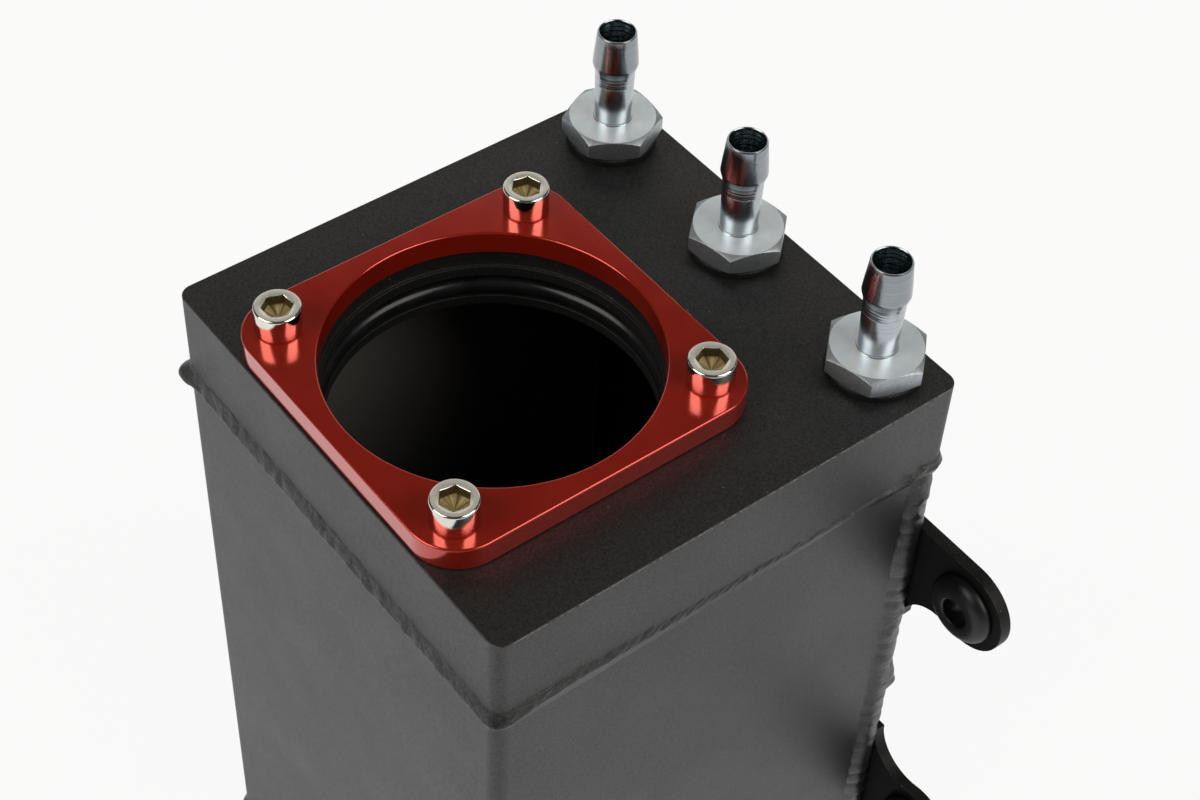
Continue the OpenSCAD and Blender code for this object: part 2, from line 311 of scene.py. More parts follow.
def coatPaint(name, wearAndHighlight="", rougher=0.0, dull=1.0, paintedInsideFill=False):
    paint = Paint(name)
    grain = paint.noise(coat["grain"], detail=3, roughness=0.65)
    cloud = paint.noise(coat["cloud"], detail=2)
    colour = paint.ramp(grain, [(0.35, coat["dark"]), (0.7, coat["light"])])
    cells = paint.add("TexVoronoi", {"Vector": paint.place, "Scale": 1 / (coat["speckPitch"] * mm)})
    dot = paint.scale(cells.outputs["Distance"], *coat["speckEdge"], (1.0, 0.0))
    chance = paint.add("SeparateColor", {"Color": cells.outputs["Color"]}).outputs["Red"]
    rare = paint.math("GREATER_THAN", chance, coat["speckRare"])
    colour = paint.mix(paint.times(dot, rare), colour, coat["speck"])
    # pale edges: part wear, part painted highlight
    if wearAndHighlight:
        colour = paint.mix(wearAndHighlightEdges(paint, wearAndHighlight), colour, coat["wearAndHighlight"])
    if paintedInsideFill:  # painted fill light: the inside of the tank is painted a lighter grey so its shaded walls are not black
        colour = paint.mix(insideTank(paint), colour, coat["paintedInsideFill"])
    rough = paint.scale(cloud, 0.3, 0.7, [r + rougher for r in coat["rough"]])
    fine = paint.bump(grain, coat["depth"])
    paint.set(Base_Color=colour, Roughness=rough, Normal=paint.bump(cloud, coat["cloudDepth"], fine))
    shine = [level * dull for level in coat["shine"]]
    paint.shader.inputs["Specular IOR Level"].default_value = sum(shine) / 2
    if dull > 0.5:  # a dull coat shows no grain in its shine
        spots = paint.noise(coat["grain"] * 1.3, detail=2)
        paint.set(Specular_IOR_Level=paint.scale(spots, 0.3, 0.7, shine))
    return paint.material


red = {"colour": (0.50, 0.025, 0.009), "deep": (0.46, 0.020, 0.007), "rough": (0.14, 0.2),
       "cloud": 9, "grain": 0.25, "depth": 0.0012, "metal": 0.62, "clear": 0.8, "clearRough": 0.12}


def redPaint():
    paint = Paint("redAnodising")
    cloud = paint.noise(red["cloud"], detail=3)
    fine = paint.noise(red["grain"], detail=2)
    paint.set(Base_Color=paint.ramp(cloud, [(0.35, red["deep"]), (0.65, red["colour"])]),
              Roughness=paint.scale(cloud, 0.3, 0.7, red["rough"]), Normal=paint.bump(fine, red["depth"]))
    paint.shader.inputs["Metallic"].default_value = red["metal"]
    paint.shader.inputs["Coat Weight"].default_value = red["clear"]
    paint.shader.inputs["Coat Roughness"].default_value = red["clearRough"]
    return paint.material


turned = {"rings": 5.0, "cloud": 0.35, "fine": 7.0,  # noise scales in the piece's own mm
          "flat": (0.93, 0.97), "flatMetal": 0.55, "fineDepth": 0.002}


def turnedMetal(name, look):  # the attribute "own" gives places from the piece's own axis, in mm
    paint = Paint(name)
    own = paint.add("Attribute", attribute_name="own").outputs["Vector"]
    split = paint.add("SeparateXYZ", {"Vector": own}).outputs
    x, y, z = split["X"], split["Y"], split["Z"]
    radius = paint.math("SQRT", paint.math("ADD", paint.times(x, x), paint.times(y, y)))
    spread = paint.add("CombineXYZ", {"X": radius, "Y": z}).outputs[0]
    rings = paint.add("TexNoise", {"Vector": spread, "Scale": turned["rings"], "Detail": 3.0,
                                   "Roughness": 0.7}).outputs["Fac"]
    cloud = paint.add("TexNoise", {"Vector": own, "Scale": turned["cloud"], "Detail": 3.0}).outputs["Fac"]
    fine = paint.add("TexNoise", {"Vector": own, "Scale": turned["fine"], "Detail": 3.0}).outputs["Fac"]
    up = paint.add("SeparateXYZ", {"Vector": paint.add("NewGeometry").outputs["True Normal"]}).outputs["Z"]
    flat = paint.scale(up, *turned["flat"])
    base = paint.ramp(cloud, [(0.35, look["colour"]), (0.65, look["tint"])])
    roughness = paint.add("Mix", {0: flat, 2: paint.scale(fine, 0.3, 0.7, look["rough"]),
                                  3: paint.scale(fine, 0.3, 0.7, look["flatRough"])}).outputs[0]
    # painted shade: faces that do not look up have their plating colour darkened toward black by this share
    sideShade = look["sideShade"]
    socket, bore = look.get("socket"), look.get("bore")
    if socket:
        angle = paint.math("ARCTAN2", y, x)
        rays = paint.add("TexNoise", {"W": angle, "Scale": socket["rays"], "Detail": 2.0},
                         noise_dimensions="1D").outputs["Fac"]
        inside = paint.times(paint.math("LESS_THAN", radius, socket["radius"]),
                             paint.math("LESS_THAN", z, socket["height"]))
        # painted shade: the socket's walls fade from gold at its floor to the shade colour higher up, and
        # the rays noise swings the gold between a lit and a shaded tone
        climb = paint.scale(z, socket["floor"] - 0.1, socket["floor"] + 0.4)
        gold = paint.ramp(rays, [(0.35, socket["dark"]), (0.62, socket["light"])])
        base = paint.mix(inside, base, paint.mix(climb, gold, socket["shade"]))
        roughness = paint.math("ADD", roughness, paint.times(inside, socket["rougher"]))
        flat = paint.math("MAXIMUM", flat, inside)
    if bore:
        inside = paint.math("LESS_THAN", radius, bore["radius"])
        base = paint.mix(inside, base, bore["colour"])
        side = paint.times(paint.math("GREATER_THAN", radius, bore["hexagon"]),
                           paint.math("SUBTRACT", 1.0, flat))
        roughness = paint.math("ADD", roughness, paint.times(side, bore["rougher"]))
        scuffs = paint.add("TexNoise", {"Vector": own, "Scale": bore["scuffs"], "Detail": 5.0,
                                        "Roughness": 0.7}).outputs["Fac"]
        scuffed = paint.times(side, paint.scale(scuffs, 0.45, 0.62, (0.0, bore["scuffShare"])))
        base = paint.mix(scuffed, base, bore["scuff"])
        # the painted shade deepens from the plain stem up to the barb, streaked by the turning rings
        sideShade = paint.scale(z, bore["plain"], bore["barb"], (sideShade, sideShade + bore["barbShade"]))
        sideShade = paint.math("ADD", sideShade, paint.scale(rings, 0.3, 0.7, bore["shadeStripes"]))
    metal = paint.scale(flat, 0, 1, (1.0, turned["flatMetal"]))  # faces that look up are satin
    if socket:
        metal = paint.math("SUBTRACT", metal, paint.times(inside, socket["lessMetal"]))
    base = paint.mix(flat, paint.mix(sideShade, base, (0, 0, 0)), base)
    paint.set(Base_Color=base, Roughness=roughness, Metallic=metal,
              Normal=paint.bump(fine, turned["fineDepth"], paint.bump(rings, look["ringDepth"])))
    return paint.material


rubber = {"fine": 0.4, "cloud": 5, "lighter": 1.7}
washerLook = {"colour": (0.006, 0.006, 0.007), "rough": (0.5, 0.58), "depth": 0.01, "shine": 0.2}
grommetLook = {"colour": (0.005, 0.005, 0.006), "rough": (0.34, 0.44), "depth": 0.015, "shine": 0.38}
sealLook = {"colour": (0.006, 0.006, 0.0065), "rough": (0.18, 0.26), "depth": 0.003, "shine": 0.32}


def rubberPaint(name, look):
    paint = Paint(name)
    fine = paint.noise(rubber["fine"], detail=3)
    cloud = paint.noise(rubber["cloud"], detail=2)
    light = tuple(c * rubber["lighter"] for c in look["colour"])
    paint.set(Base_Color=paint.ramp(cloud, [(0.35, look["colour"]), (0.65, light)]),
              Roughness=paint.scale(cloud, 0.3, 0.7, look["rough"]), Normal=paint.bump(fine, look["depth"]))
    paint.shader.inputs["Specular IOR Level"].default_value = look["shine"]
    return paint.material


# weld beads

bead = {
    "under": 0.35, "steps": 1500, "sides": 36, "hidden": 4,  # the hidden sides run back inside the wall
    "round": 0.25,  # share of the upper face that is rounded, the rest is straight
    "fall": 1.25,  # power of the lower face, 1 is straight
    "toeWaves": ((0.25, 6), (0.2, 1.7)),  # height and length of the upper toe's waves
    "rippleTall": 0.2, "rippleMean": 0.67, "rippleWave": (0.25, 5),
    "strength": (0.8, 0.9, 13), "weakest": 0.35,  # mean, change and length of the ripples' own waves
    "grit": ((0.22, 2.1), (0.08, 0.7)), "lowerGrit": 0.4,
    "sag": 0.16, "sagWave": (0.14, 4.5),
    "backSpan": 0.8,  # the hidden sides' height, as a share of the seen ones'
    "clear": 0.5,  # height over the floor that the foot bead keeps
    "lumps": [(-2.4, -0.9, 1.9, 1.5), (0.2, -0.6, 1.1, 0.4), (96.6, -0.6, 1.2, 0.35),
              (188.5, -0.6, 0.8, 0.5), (191.5, 0.9, 0.7, 0.4)],  # s, place up the bead, reach, height
    # s, upper toe, lower toe, height, crest between the toes, ripple, pitch, lean
    "course": [(0, 2.0, -3.1, 1.15, -0.18, 0.25, 3.6, 0.7), (84, 2.0, -3.1, 1.15, -0.18, 0.25, 3.6, 0.7),
               (93, 2.0, -3.1, 1.15, -0.1, 0.15, 3.4, 0.4), (99, 2.1, -3.0, 1.15, 0.06, 0.1, 3.2, 0.0),
               (105, 2.2, -2.7, 0.9, 0.28, 0.15, 3.0, -0.7), (116, 2.0, -2.6, 0.75, 0.3, 0.3, 3.0, -1.5),
               (124, 1.6, -2.4, 0.6, 0.25, 0.7, 3.0, -2.0), (134, 1.1, -2.2, 0.45, 0.2, 1.0, 2.9, -2.2),
               (150, 0.8, -2.0, 0.32, 0.2, 0.9, 2.8, -2.2), (168, 0.6, -1.8, 0.22, 0.2, 0.5, 2.8, -2.2),
               (177, 0.6, -1.5, 0.14, 0.1, 0.15, 2.6, -1.5), (186, 1.0, -2.0, 0.28, 0.0, 0.3, 2.8, 0.0),
               (193, 1.6, -2.4, 0.65, 0.0, 0.4, 3.0, 0.5), (201, 1.8, -2.7, 0.85, 0.0, 0.4, 3.2, 0.5),
               (215, 2.0, -3.0, 1.1, -0.1, 0.45, 3.4, 0.7), (398, 2.0, -3.1, 1.15, -0.18, 0.25, 3.6, 0.7)],
}


# place and outward direction at s mm along the tank's outline, from the front left corner
def outlinePoint(s):
    w, d, r = tank["width"] / 2, tank["depth"] / 2, tank["corner"]
    x, y, turn = w - r, d - r, r * math.pi / 2
    runs = [((-x, -d), (1, 0), 2 * x), ((x, -y), -90, turn), ((w, -y), (0, 1), 2 * y), ((x, y), 0, turn),
            ((x, d), (-1, 0), 2 * x), ((-x, y), 90, turn), ((-w, y), (0, -1), 2 * y), ((-x, -y), 180, turn)]
    for start, heading, length in runs:
        if s <= length:
            break
        s -= length
    start = Vector((*start, 0))
    if isinstance(heading, tuple):
        along = Vector((*heading, 0))
        return start + along * s, Vector((along.y, -along.x, 0))
    a = math.radians(heading) + s / r
    out = Vector((math.cos(a), math.sin(a), 0))
    return start + out * r, out


def outlineLength():
    w, d, r = tank["width"], tank["depth"], tank["corner"]
    return 2 * (w + d - 4 * r) + math.tau * r


def between(table, at):  # the table's values at this place, mixed from the rows on both sides
    for before, after in zip(table, table[1:]):
        if at <= after[0]:
            break
    k = max(0.0, min(1.0, (at - before[0]) / (after[0] - before[0])))
    return [u + (v - u) * k for u, v in zip(before[1:], after[1:])]


def grit(point, size):
    return noise.noise(point / size)


def hump(distance, width):
    return math.exp(-(distance / width) ** 2)


def ridgeAt(phase, mean):  # a round back between two creases
    scale = phase - math.floor(phase)
    return 4 * scale * (1 - scale) - mean


# how many ripples have been laid down by each step along the bead
def ripplePhases(length, steps):
    total, phases = 0.0, []
    for i in range(steps):
        phases.append(total)
        total += length / steps / between(bead["course"], length * i / steps)[5]
    return [phase * round(total) / total for phase in phases]


def faceOfBead(share, crest):  # how far the bead stands out between its toes, share is 1 at the upper one
    if share > crest:
        k = (1 - share) / (1 - crest)
        return (1 - bead["round"]) * k + bead["round"] * math.sin(math.pi / 2 * k)
    return 1 - ((crest - share) / (crest + 1)) ** bead["fall"]


def weldRing(name, height, lumps, replaced, material):
    deselectAll()
    bpy.ops.mesh.primitive_grid_add(x_subdivisions=bead["steps"], y_subdivisions=bead["sides"], size=2)
    piece = bpy.context.object
    length, steps, sides = outlineLength(), bead["steps"], bead["sides"]
    phases = ripplePhases(length, steps)
    outer = sides - bead["hidden"]
    mean, change, wave = bead["strength"]
    for vertex in piece.data.vertices:
        i = round((vertex.co.x + 1) / 2 * steps) % steps
        j = round((vertex.co.y + 1) / 2 * sides) % sides
        s = length * i / steps
        base, out = outlinePoint(s)
        here = base + Vector((0, 0, height))
        top, low, tall, crest, ripple, pitch, lean = between(bead["course"], s)
        low = max(low, bead["clear"] - height)
        if j < outer:
            t = j / (outer - 1)
            share = math.cos(math.pi * t)
            (waveA, longA), (waveB, longB) = bead["toeWaves"]
            top += waveA * grit(here, longA)
            top += waveB * grit(here + Vector((40, 0, 0)), longB)  # read elsewhere, so no two waves match
            v = (top + low) / 2 + share * (top - low) / 2
            cover = math.sin(math.pi * min(1, t * 1.02)) ** 0.5  # nothing is added at the toes
            point = here + out * tall * faceOfBead(share, crest) + Vector((0, 0, v))
            phase = phases[i] + lean * v / pitch + bead["rippleWave"][0] * grit(here, bead["rippleWave"][1])
            ridge = ridgeAt(phase, bead["rippleMean"])
            strong = mean + change * grit(here + Vector((0, 0, 90)), wave)
            strong = ripple * max(bead["weakest"], min(1.0, strong))
            rough = sum(depth * grit(point, size) for depth, size in bead["grit"])
            rough *= 1.0 if share > crest else bead["lowerGrit"]
            lift = bead["rippleTall"] * strong * ridge + rough
            for lumpS, lumpV, reach, tallness in lumps:
                away = abs(s - lumpS % length)
                lift += tallness * hump(math.hypot(min(away, length - away), v - lumpV), reach)
            sag = bead["sagWave"][0] * grit(here + Vector((0, 70, 0)), bead["sagWave"][1])
            sag -= bead["sag"] * strong * (ridge + bead["rippleMean"]) * (0.5 - share / 2) ** 2
            point += out * lift * cover + Vector((0, 0, sag))
        else:
            k = (j - outer + 1) / (sides - outer + 1)
            level = (low * (1 - k) + top * k) * bead["backSpan"]
            point = here - out * bead["under"] + Vector((0, 0, level))
        vertex.co = point * mm
    cleanUp(piece)
    faceOutwards(piece)
    smooth(piece, 60)
    return finishPiece(piece, name, material, "coat", replaced)


cornerBead = {
    "centre": (45.6, 45.2), "radius": 5.4, "from": -36, "to": 78, "low": 4.6, "high": 150.2,
    "rings": 500, "sides": 34, "seen": 0.75,  # share of the sides that lie outside the walls
    "pole": (48.6, 47.5), "inner": (48.3, 47.6), "sideToe": (49.6, 41.2), "backRadius": 5.3, "wall": 49.9,
    "pitch": 4.2, "lean": 5.5, "rippleWave": (0.35, 7), "rippleMean": 0.67, "rippleTall": 0.26,
    "strength": (0.7, 1.2, 12), "weakest": 0.25,
    "grit": ((0.10, 0.9), (0.22, 3.4)),
    "taper": (0.9, 144.5, 4),  # how much thinner the top end gets, from what height, over what length
    "toeEase": 0.3,
    "toeBack": (0.9, 0.8, 0.5, 4),  # how far the toe is drawn back: evenly, by the ripples, by a wave
    "lumps": [(85.2, 0.74, 2.6, 1.3), (82.4, 0.74, 1.6, 1.5), (89.5, 0.6, 0.7, -0.6), (112, 0.62, 1.4, 0.4),
              (107.5, 0.5, 1.2, 0.4), (103, 0.3, 1.8, 0.35), (143, 0.4, 1.5, 0.5), (139, 0.25, 1.1, 0.35)],
}  # each lump is a height, a place round the bead, a reach and how far it stands out


def weldCorner(name, side, lumps, replaced, material):  # side 1 is the rear right corner, -1 the left one
    deselectAll()
    bpy.ops.mesh.primitive_uv_sphere_add(segments=cornerBead["sides"], ring_count=cornerBead["rings"],
                                         radius=1)
    piece = bpy.context.object
    low, high = cornerBead["low"], cornerBead["high"]
    cx, cy = cornerBead["centre"]
    start, end = math.radians(cornerBead["from"]), math.radians(cornerBead["to"])
    mean, change, wave = cornerBead["strength"]
    thinner, taperFrom, taperLength = cornerBead["taper"]
    back, backRipple, backGrit, backWave = cornerBead["toeBack"]
    poleX, poleY = cornerBead["pole"]
    first = Vector((cx, cy)) + Vector((math.cos(end), math.sin(end))) * cornerBead["backRadius"]
    inner, last = Vector(cornerBead["inner"]), Vector(cornerBead["sideToe"])
    for vertex in piece.data.vertices:
        t = math.acos(max(-1, min(1, vertex.co.z))) / math.pi
        z = high + (low - high) * t
        k = (math.atan2(vertex.co.y, vertex.co.x) / math.tau) % 1
        if t in (0, 1) or math.hypot(vertex.co.x, vertex.co.y) < 1e-6:
            vertex.co = Vector((poleX * side, poleY, z)) * mm
            continue
        here = Vector((side * 50, 47, z))
        if k < cornerBead["seen"]:
            k = k / cornerBead["seen"]
            a = start + (end - start) * k
            cover = math.sin(math.pi * min(1, k + 0.1)) ** 0.6
            phase = (z + cornerBead["lean"] * k) / cornerBead["pitch"]
            phase += cornerBead["rippleWave"][0] * grit(here, cornerBead["rippleWave"][1])
            ridge = ridgeAt(phase, cornerBead["rippleMean"])
            strong = max(cornerBead["weakest"], min(1.0, mean + change * grit(here, wave)))
            point = Vector((side * 9, k * 8, z))  # where the grit is read, unrolled
            lift = cornerBead["rippleTall"] * strong * ridge
            lift += sum(depth * grit(point, size) for depth, size in cornerBead["grit"])
            for lumpZ, lumpK, reach, tall in lumps:
                lift += tall * hump(math.hypot(z - lumpZ, (k - lumpK) * 10), reach)
            r = cornerBead["radius"] + lift * cover
            r -= thinner * min(1, max(0, (z - taperFrom) / taperLength)) ** 2
            x, y = cx + r * math.cos(a), cy + r * math.sin(a)
            ease = min(1, k / cornerBead["toeEase"])
            ease = ease * ease * (3 - 2 * ease)
            x = cornerBead["wall"] + (x - cornerBead["wall"]) * ease  # the toe runs out into the wall
            y -= (1 - ease) * (back + backRipple * ridge * strong + backGrit * grit(here, backWave))
        else:
            j = (k - cornerBead["seen"]) / (1 - cornerBead["seen"])
            x, y = first.lerp(inner, j * 2) if j < 0.5 else inner.lerp(last, j * 2 - 1)
        vertex.co = Vector((side * x, y, z)) * mm
    cleanUp(piece)
    smooth(piece, 60)
    return finishPiece(piece, name, material, "coat", replaced)


# clamp screws

screw = {"head": 8.7, "tall": 5.4, "round": 0.5, "foot": 0.25, "dish": 0.24, "mouth": 3.28,
         "socket": 5.0, "deep": 2.4, "point": 0.8, "drill": 2.3,
         "shank": 4.9, "tip": 0.6, "length": 16, "edge": 0.1,
         "turns": (36, -12, 22, -9)}  # front left, rear left, rear right, front right
screwLook = {"colour": (0.72, 0.69, 0.62), "tint": (0.80, 0.78, 0.71), "rough": (0.07, 0.13),
             "flatRough": (0.28, 0.36), "sideShade": 0.0, "ringDepth": 0.009,
             "socket": {"radius": 2.95, "height": screw["tall"] - 0.3, "floor": 3.0, "rays": 2.3,
                        # the dark and light gold and the shade colour paint the socket's lit and shaded
                        # walls
                        "rougher": 0.12, "lessMetal": 0.3, "dark": (0.24, 0.14, 0.05),
                        "light": (1.0, 0.82, 0.38), "shade": (0.06, 0.042, 0.015)}}


def screwOutline():
    r, h, edge, dish = screw["head"] / 2, screw["tall"], screw["round"], screw["dish"]
    shank, mouth = screw["shank"] / 2, screw["mouth"]
    body = [(0, -screw["length"]), (shank - screw["tip"], -screw["length"]),
            (shank, -screw["length"] + screw["tip"]), (shank, -0.02),
            (r - screw["foot"], 0), (r, screw["foot"])]
    rim = [(r - edge + edge * math.cos(a), h - edge + edge * math.sin(a))
           for a in (i * math.pi / 10 for i in range(6))]
    face = [(r - edge - 0.06, h), (mouth + 0.12, h), (mouth + 0.04, h), (mouth - 0.04, h - 0.02),
            (mouth - 0.12, h - 0.04), (2.45, h - dish), (0, h - dish)]
    return body + rim + face


def addScrews(material):
    head = lathe(screwOutline(), 64)
    deselectAll()
    floor, cut = screw["tall"] - screw["deep"], 4  # the cutter stands out of the head
    bpy.ops.mesh.primitive_cylinder_add(vertices=6, radius=screw["socket"] / math.sqrt(3) * mm,
                                        depth=cut * mm, location=(0, 0, (floor + cut / 2) * mm))
    hexagon = bpy.context.object
    bpy.ops.object.transform_apply(location=True)
    combine(head, hexagon, "DIFFERENCE")
    addModifier(head, "BEVEL", width=screw["edge"] * mm, segments=2, limit_method="ANGLE",
                angle_limit=math.radians(40))
    deselectAll()
    bpy.ops.mesh.primitive_cone_add(vertices=64, radius1=0.0, radius2=screw["drill"] * mm,
                                    depth=screw["point"] * mm,
                                    location=(0, 0, (floor - screw["point"] / 2 + 0.001) * mm))
    bpy.ops.object.transform_apply(location=True)
    combine(head, bpy.context.object, "DIFFERENCE")
    cleanUp(head, fineGap)
    storeOwn(head)
    smooth(head, 40)
    copies = []
    half = pump["screwPitch"] / 2
    for turn, (sx, sy) in zip(screw["turns"], ((-1, -1), (-1, 1), (1, 1), (1, -1))):
        one = copyPiece(head)
        one.rotation_euler[2] = math.radians(turn)
        one.location = Vector((sx * half, pump["y"] + sy * half, pump["ringTop"])) * mm
        settle(one)
        copies.append(one)
    bpy.data.objects.remove(head, do_unlink=True)
    deselectAll()
    for one in copies:
        one.select_set(True)
    bpy.context.view_layer.objects.active = copies[0]
    bpy.ops.object.join()
    return finishPiece(bpy.context.object, "clampScrews", material, "screw", "clamp_screws")


def storeOwn(piece):  # keeps each point's place before the piece is moved, in mm, for turnedMetal
    own = piece.data.attributes.new("own", "FLOAT_VECTOR", "POINT")
    for vertex, value in zip(piece.data.vertices, own.data):
        value.vector = vertex.co / mm


# hose tails

tail = {"y": 40.4, "pitch": 38, "washer": 1.6, "hexagon": 17, "tall": 4.3, "chamfer": 0.8, "edge": 0.1,
        "top": 26.3, "barb": 4.4, "barbLength": 7.2, "bore": 3.25, "marked": 15,
        "grooves": ((4.3, 0.025), (3.7, 0.015), (3.1, 0.025), (2.5, 0.02)),  # below the barb, and how deep
        "stub": 5.95, "stubLength": 11, "turns": (25, 42, 43)}  # a flat faces +X at 0
tailLook = {"colour": (0.77, 0.86, 0.93), "tint": (0.87, 0.92, 0.95), "rough": (0.16, 0.27),
            # the stem's sides get painted shade, deeper toward the barb (set below)
            "flatRough": (0.3, 0.42), "sideShade": 0.47, "ringDepth": 0.016,
            "bore": {"radius": tail["bore"] + 0.15, "colour": (0.66, 0.80, 0.86),
                     "hexagon": 7.0, "rougher": 0.26,
                     "scuff": (0.22, 0.22, 0.21), "scuffs": 1.5, "scuffShare": 0.25,
                     # extra painted shade on the barb and its streaks
                     "plain": 16.0, "barb": 19.5, "barbShade": 0.17, "shadeStripes": (0.07, -0.07)}}


def stemOutline():
    foot, top, barb, bore = tail["washer"] + tail["tall"], tail["top"], tail["barb"], tail["bore"]
    barbZ, neck, root = top - tail["barbLength"], barb - 0.5, barb - 0.9
    outside = [(tail["stub"] - 0.5, -tail["stubLength"]), (tail["stub"], -tail["stubLength"] + 0.5),
               (tail["stub"], foot - 1.5), (root + 0.3, foot - 1.4), (root + 0.3, foot + 0.1),
               (root + 0.22, foot + 0.22), (root + 0.02, foot + 0.28)]
    for drop, depth in tail["grooves"]:
        z, r = barbZ - drop, neck - drop * 0.024
        outside += [(r, z - 0.1), (r - depth, z - 0.03), (r - depth, z + 0.02), (r + 0.005, z + 0.08)]
    outside += [(neck, barbZ - 1.75), (neck + 0.04, barbZ - 1.6), (barb - 0.07, barbZ - 0.25),
                (barb, barbZ), (barb - 0.02, barbZ + 0.25)]
    outside += [(barb - 0.62 * k ** 1.1, barbZ + 0.3 + (tail["barbLength"] - 0.6) * k)
                for k in (0.25, 0.5, 0.75, 1.0)]
    outside += [(barb - 0.68, top - 0.14), (barb - 0.76, top - 0.03), (barb - 0.85, top)]
    inside = [(bore + 0.24, top), (bore + 0.1, top - 0.15)]
    z = top - 0.5
    while z > top - tail["marked"]:  # uneven tool marks down the bore
        inside += [(bore + 0.11, z), (bore + 0.01, z - 0.36)]
        z -= 0.5 + 0.2 * math.sin(z * 5)
    return outside + inside + [(bore, -tail["stubLength"])]


def addTails(material):
    stem = lathe(stemOutline() + [stemOutline()[0]], 72)
    corner = tail["hexagon"] / math.sqrt(3)
    low, high = tail["washer"], tail["washer"] + tail["tall"]
    deselectAll()
    middle = tail["washer"] + tail["tall"] / 2
    bpy.ops.mesh.primitive_cylinder_add(vertices=6, radius=corner * mm, depth=tail["tall"] * mm,
                                        location=(0, 0, middle * mm))
    hexagon = bpy.context.object
    bpy.ops.object.transform_apply(location=True)
    face, drop, lensSteps = tail["hexagon"] / 2 - 0.1, tail["chamfer"], 96
    lens = lathe([(0, low - 0.001), (face, low - 0.001), (corner + 0.1, low + drop),
                  (corner + 0.1, high - drop), (face, high + 0.001), (0, high + 0.001)], lensSteps)
    lens.rotation_euler[2] = math.pi / lensSteps  # the corners fall between two of its steps
    settle(lens)
    combine(hexagon, lens, "INTERSECT")
    addModifier(hexagon, "BEVEL", width=tail["edge"] * mm, segments=3, limit_method="ANGLE",
                angle_limit=math.radians(20))
    bore = tail["barb"] - 0.7  # inside the stem's wall
    hole = lathe([(0, low - 1), (bore, low - 1), (bore, high + 1), (0, high + 1)], 72)
    combine(hexagon, hole, "DIFFERENCE")
    for i, turn in zip((-1, 0, 1), tail["turns"]):
        nut, tube = copyPiece(hexagon), copyPiece(stem)
        nut.rotation_euler[2] = math.radians(turn)
        settle(nut)
        makeActive(nut)
        tube.select_set(True)
        bpy.context.view_layer.objects.active = nut
        bpy.ops.object.join()
        cleanUp(nut, fineGap)
        storeOwn(nut)
        smooth(nut, 28)
        nut.location = Vector((i * tail["pitch"], tail["y"], tank["height"])) * mm
        where = ("Left", "Middle", "Right")[i + 1]
        finishPiece(nut, "hoseTail" + where, material, "zinc", "hose_tail_" + where.lower())
    for piece in (hexagon, stem):
        bpy.data.objects.remove(piece, do_unlink=True)


# clamp ring

ring = {"side": 69, "thick": 5, "corner": 9.5, "cornerSteps": 20, "edge": 0.4,
        "hole": 30.7, "holeSteps": 160, "screwHole": 2.75, "screwHoleSteps": 40}


def addRing(material):
    deselectAll()
    bpy.ops.mesh.primitive_cube_add(size=1, location=(0, 0, 0))
    piece = bpy.context.object
    piece.scale = (ring["side"] * mm, ring["side"] * mm, ring["thick"] * mm)
    settle(piece)
    startEdit(piece, "EDGE", "DESELECT")
    endEdit()
    for edge in piece.data.edges:
        a, b = (piece.data.vertices[i].co for i in edge.vertices)
        edge.select = abs(a.z - b.z) > ring["thick"] / 2 * mm  # the four upright edges
    bpy.ops.object.mode_set(mode="EDIT")
    bpy.ops.mesh.bevel(offset=ring["corner"] * mm, segments=ring["cornerSteps"])
    endEdit()
    half = pump["screwPitch"] / 2
    holes = [(0, 0, ring["hole"], ring["holeSteps"])]
    holes += [(sx * half, sy * half, ring["screwHole"], ring["screwHoleSteps"])
              for sx in (-1, 1) for sy in (-1, 1)]
    for x, y, radius, steps in holes:
        deselectAll()
        bpy.ops.mesh.primitive_cylinder_add(vertices=steps, radius=radius * mm, depth=ring["thick"] * 4 * mm,
                                            location=(x * mm, y * mm, 0))
        combine(piece, bpy.context.object, "DIFFERENCE")
    cleanUp(piece)
    smooth(piece, 40)
    addModifier(piece, "BEVEL", width=ring["edge"] * mm, segments=4, limit_method="ANGLE",
                angle_limit=math.radians(50), harden_normals=True)
    piece.location = (0, pump["y"] * mm, (pump["ringTop"] - ring["thick"] / 2) * mm)
    return finishPiece(piece, "clampRing", material, "ring", "clamp_ring")


# back plate, block and washers, from the CAD meshes with their edges rounded

rounding = {"washer": 0.3, "plate": 0.6, "block": 0.25}


def roundedCopy(node, name, width, material, slot, segments=3):
    piece = copyPiece(nodes[node])
    piece.hide_render = piece.hide_viewport = False
    cleanUp(piece)
    startEdit(piece)
    bpy.ops.mesh.dissolve_limited(angle_limit=math.radians(0.5))
    endEdit()
    smooth(piece, 30)
    addModifier(piece, "BEVEL", width=width * mm, segments=segments, limit_method="ANGLE",
                angle_limit=math.radians(50), harden_normals=True)
    return finishPiece(piece, name, material, slot, node)


# grommets

grommet = {"x": 64, "y": 49.25, "z": (122.5, 47.5), "bore": 2.95, "eye": 5.15,
           "face": 1.25,  # half the plate's thickness
           "flange": 7.3, "thick": 3.0, "reach": 3.0, "edge": 0.6, "mouth": 0.5, "lip": 6.4, "lipThick": 1.2}


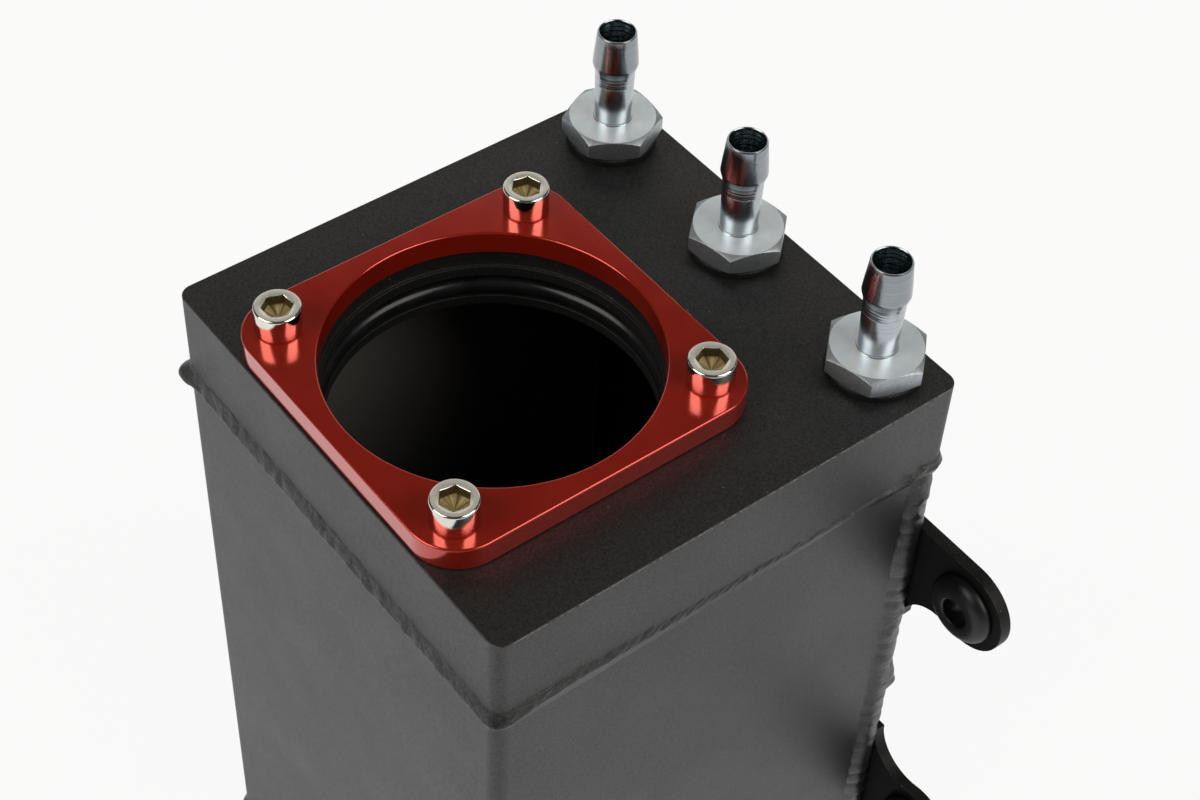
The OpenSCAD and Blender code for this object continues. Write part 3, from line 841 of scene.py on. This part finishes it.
def grommetOutline():
    face, back = grommet["face"], -grommet["face"] - grommet["lipThick"]
    bore, lip, flange = grommet["bore"], grommet["lip"], grommet["flange"]
    edge, mouth = grommet["edge"], grommet["mouth"]
    outline = [(bore, back + 0.2), (bore + 0.2, back), (lip - 0.4, back),
               (lip - 0.1, back + 0.12), (lip, back + 0.4), (lip, -face),
               (grommet["eye"], -face), (grommet["eye"], face), (flange - 0.25, face)]
    for i in range(13):  # round the flange's edge, then over its crown
        a = math.radians(-30 + 10 * i)
        reach = grommet["reach"] if a > 0 else 0.5
        rise = grommet["thick"] - edge if a > 0 else edge
        outline.append((flange - reach + reach * math.cos(a), face + edge + rise * math.sin(a)))
    top = face + grommet["thick"]
    outline.append((bore + mouth, top - 0.02))
    outline += [(bore + mouth - mouth * math.sin(a), top - 0.02 - mouth + mouth * math.cos(a))
                for a in (math.radians(15 * i) for i in range(1, 7))]
    return outline + [(bore, 0), outline[0]]


def addGrommets(material):
    first = lathe(grommetOutline(), 72)
    smooth(first, 50)
    for side, sx in (("Left", -1), ("Right", 1)):
        for level, z in zip(("Upper", "Lower"), grommet["z"]):
            one = copyPiece(first)
            one.rotation_euler[0] = math.radians(90)
            one.location = Vector((sx * grommet["x"], grommet["y"], z)) * mm
            node = "grommet_%s_%s" % (level.lower(), side.lower())
            finishPiece(one, "grommet" + level + side, material, "rubber", node)
    bpy.data.objects.remove(first, do_unlink=True)


# floor

def addFloor():
    deselectAll()
    bpy.ops.mesh.primitive_plane_add(size=studio["floorSize"], location=(0, 0, 0))
    floor = bpy.context.object
    floor.name = "floor"
    material = bpy.data.materials.new("paleFloor")
    material.use_nodes = True
    tree = material.node_tree
    tree.nodes.clear()
    paper, glow = tree.nodes.new("ShaderNodeBsdfDiffuse"), tree.nodes.new("ShaderNodeEmission")
    mixer, end = tree.nodes.new("ShaderNodeMixShader"), tree.nodes.new("ShaderNodeOutputMaterial")
    path, either = tree.nodes.new("ShaderNodeLightPath"), tree.nodes.new("ShaderNodeMath")
    amount = tree.nodes.new("ShaderNodeMath")
    either.operation, amount.operation = "MAXIMUM", "MULTIPLY"
    pale = studio["floorColour"]
    paper.inputs["Color"].default_value = (pale, pale, pale, 1)
    glow.inputs["Strength"].default_value = 1.0  # plain white
    amount.inputs[1].default_value = studio["floorGlow"]
    for a, b in ((path.outputs["Is Camera Ray"], either.inputs[0]),
                 (path.outputs["Is Glossy Ray"], either.inputs[1]),
                 (either.outputs[0], amount.inputs[0]), (amount.outputs[0], mixer.inputs[0]),
                 (paper.outputs[0], mixer.inputs[1]), (glow.outputs[0], mixer.inputs[2]),
                 (mixer.outputs[0], end.inputs["Surface"])):
        tree.links.new(a, b)
    floor.data.materials.append(material)


# scene

bpy.context.scene.view_settings.view_transform = "Standard"
addCamera()
makeSky()
for lamp in studio["lamps"]:
    addLamp(*lamp)
addFloor()
print("camera, lamps and floor made")

shellCoat = coatPaint("blackCoatShell", **shellLook)
blockCoat = coatPaint("blackCoatWearAndHighlight", **blockLook)
plateCoat = coatPaint("blackCoatPlate", **plateLook)
beadCoat = coatPaint("blackCoatBead", **beadLook)
zinc = turnedMetal("zincPlate", tailLook)
nickel = turnedMetal("nickelPlate", screwLook)
washerPaint = rubberPaint("washerRubber", washerLook)
grommetPaint = rubberPaint("grommetRubber", grommetLook)
sealPaint = rubberPaint("sealRubber", sealLook)
for name, paint in (("body_shell", shellCoat), ("bottom_plate", shellCoat), ("pump_seal", sealPaint)):
    nodes[name].data.materials.clear()
    nodes[name].data.materials.append(paint)
print("materials made")

weldRing("weldTopBead", tank["joint"], bead["lumps"], "weld_top", beadCoat)
weldRing("weldFootBead", tank["foot"], [], "weld_bottom", beadCoat)
weldCorner("weldRearBeadRight", 1, cornerBead["lumps"], "weld_rear_right", beadCoat)
weldCorner("weldRearBeadLeft", -1, [], "weld_rear_left", beadCoat)
print("weld beads made")
addScrews(nickel)
addRing(redPaint())
print("screws and ring made")
addTails(zinc)
for where in ("left", "middle", "right"):
    roundedCopy("seal_washer_" + where, "sealWasher" + where.capitalize(), rounding["washer"],
                washerPaint, "washer")
print("hose tails made")
roundedCopy("back_plate", "backPlate", rounding["plate"], plateCoat, "coat")
roundedCopy("top_block", "topBlock", rounding["block"], blockCoat, "coat", 2)
addGrommets(grommetPaint)
print("back plate, block and grommets made")

deselectAll()
